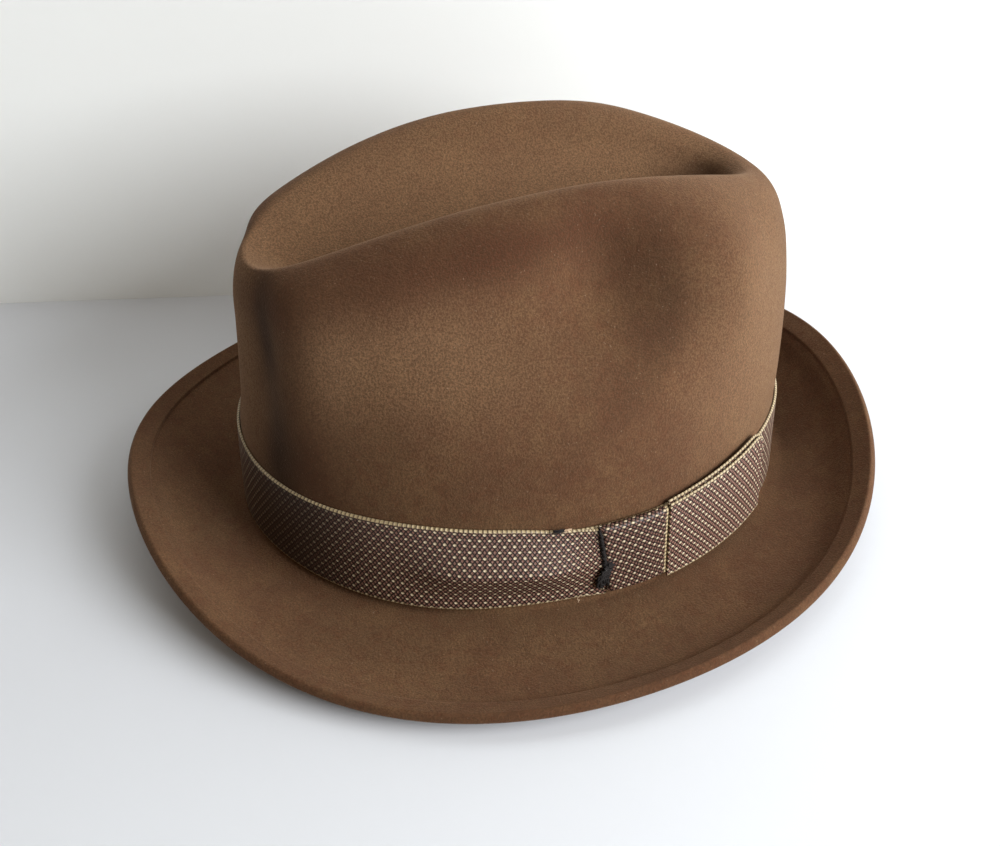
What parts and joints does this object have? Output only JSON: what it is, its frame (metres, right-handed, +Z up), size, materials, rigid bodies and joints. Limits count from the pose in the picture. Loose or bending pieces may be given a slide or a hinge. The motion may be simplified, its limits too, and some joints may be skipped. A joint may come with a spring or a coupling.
{
  "type": "fedora hat",
  "caption": "Felt fedora with a pinched, creased crown, a narrow brim curled up front and back, and a woven ribbon with a flat side bow.",
  "frame": {"origin": "on the resting surface, under the middle of the hat's outline", "axes": "+Z up through the crown, -Y towards the front of the hat, +X towards the wearer's left, where the bow is"},
  "size_m": [0.2628, 0.2736, 0.1252],
  "materials": {
    "fur_felt": "brushed brown fur felt with a soft short nap",
    "woven_ribbon": "woven ribbon, brown ground with small pale dots and beaded pale edges"
  },
  "bodies": {
    "root": {"felt_body": "fur_felt", "hat_band": "woven_ribbon", "bow_loop": "woven_ribbon", "bow_knot": "woven_ribbon", "bow_front_end": "woven_ribbon"}
  },
  "joints": []
}
